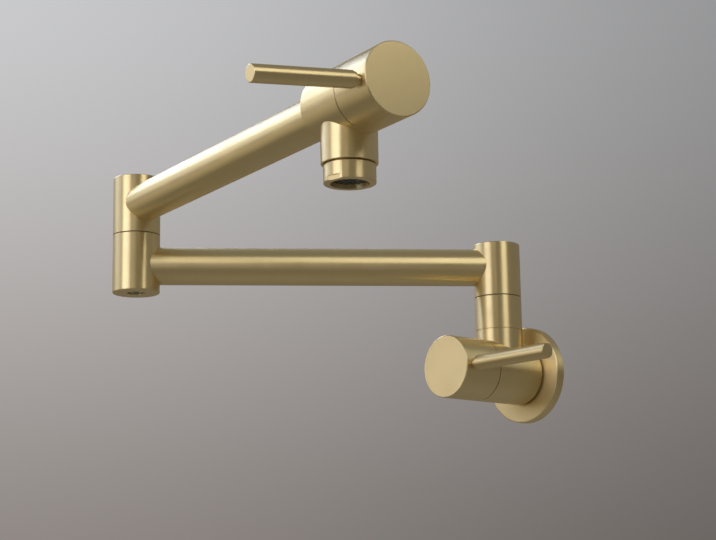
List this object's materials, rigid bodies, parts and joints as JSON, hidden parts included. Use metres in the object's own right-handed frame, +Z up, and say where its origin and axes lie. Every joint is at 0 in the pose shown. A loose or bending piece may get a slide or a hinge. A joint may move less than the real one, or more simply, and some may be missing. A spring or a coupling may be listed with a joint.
{
  "type": "wall mounted pot filler",
  "caption": "Wall mounted pot filler in brushed brass: jointed swivelling arm of straight tubes, a lever valve at the wall and another at the end above a downward aerated nozzle.",
  "frame": {"origin": "centre of the inlet mouth, in the plane of the cover disc's back face", "axes": "+Z up, +Y into the wall along the inlet, +X to the right seen from the room"},
  "size_m": [0.3233, 0.3471, 0.1615],
  "materials": {
    "satin_brass": "brushed satin, clear lacquered",
    "machined_brass": "plain turned",
    "black_rubber": "matte",
    "white_plastic": "smooth matte",
    "grey_plastic": "smooth matte",
    "white_ceramic": "lapped",
    "stainless_steel": "plain turned"
  },
  "bodies": {
    "wall_body": {"wall_flange": "satin_brass", "flange_gasket": "black_rubber", "flange_neck_ring": "black_rubber", "wall_valve_body": "satin_brass", "wall_seat_seal": "black_rubber", "wall_fixed_disc": "white_ceramic", "wall_insert": "machined_brass", "wall_collar": "satin_brass", "wall_thrust_washer": "white_plastic", "wall_slip_washer": "grey_plastic"},
    "wall_handle": {"wall_turning_disc": "white_ceramic", "wall_stem": "machined_brass", "wall_cap": "satin_brass", "wall_lever": "satin_brass", "wall_grub_screw": "stainless_steel"},
    "arm_1": {"arm_1_head": "satin_brass", "wall_spigot": "machined_brass", "wall_spigot_rings": "black_rubber", "arm_1_tube": "satin_brass", "elbow_lower": "satin_brass", "elbow_slip_washer": "grey_plastic"},
    "arm_2": {"elbow_upper": "satin_brass", "elbow_spigot": "machined_brass", "elbow_spigot_rings": "black_rubber", "elbow_screw_washer": "stainless_steel", "elbow_screw": "stainless_steel", "arm_2_tube": "satin_brass", "spout_valve_body": "satin_brass", "spout_seat_seal": "black_rubber", "spout_fixed_disc": "white_ceramic", "spout_insert": "machined_brass", "nozzle_housing": "satin_brass", "aerator_insert": "grey_plastic", "nozzle_washer": "black_rubber"},
    "spout_handle": {"spout_turning_disc": "white_ceramic", "spout_stem": "machined_brass", "spout_cap": "satin_brass", "spout_lever": "satin_brass", "spout_grub_screw": "stainless_steel"}
  },
  "joints": [
    {"name": "wall_handle_turn", "type": "hinge", "parent": "wall_body", "child": "wall_handle", "pos_m": [0, -0.046, 0], "axis": [0, 1, 0], "range_deg": [0, 90]},
    {"name": "wall_swivel", "type": "hinge", "parent": "wall_body", "child": "arm_1", "pos_m": [0, -0.027, 0.0495], "axis": [0, 0, 1], "range_deg": [-55, 124.5]},
    {"name": "elbow_swivel", "type": "hinge", "parent": "arm_1", "child": "arm_2", "pos_m": [-0.1356, -0.22138, 0.09], "axis": [0, 0, 1], "range_deg": [-290, 57]},
    {"name": "spout_handle_turn", "type": "hinge", "parent": "arm_2", "child": "spout_handle", "pos_m": [0.13949, -0.26151, 0.11], "axis": [-0.9895, 0.1444, 0], "range_deg": [0, 90]}
  ]
}
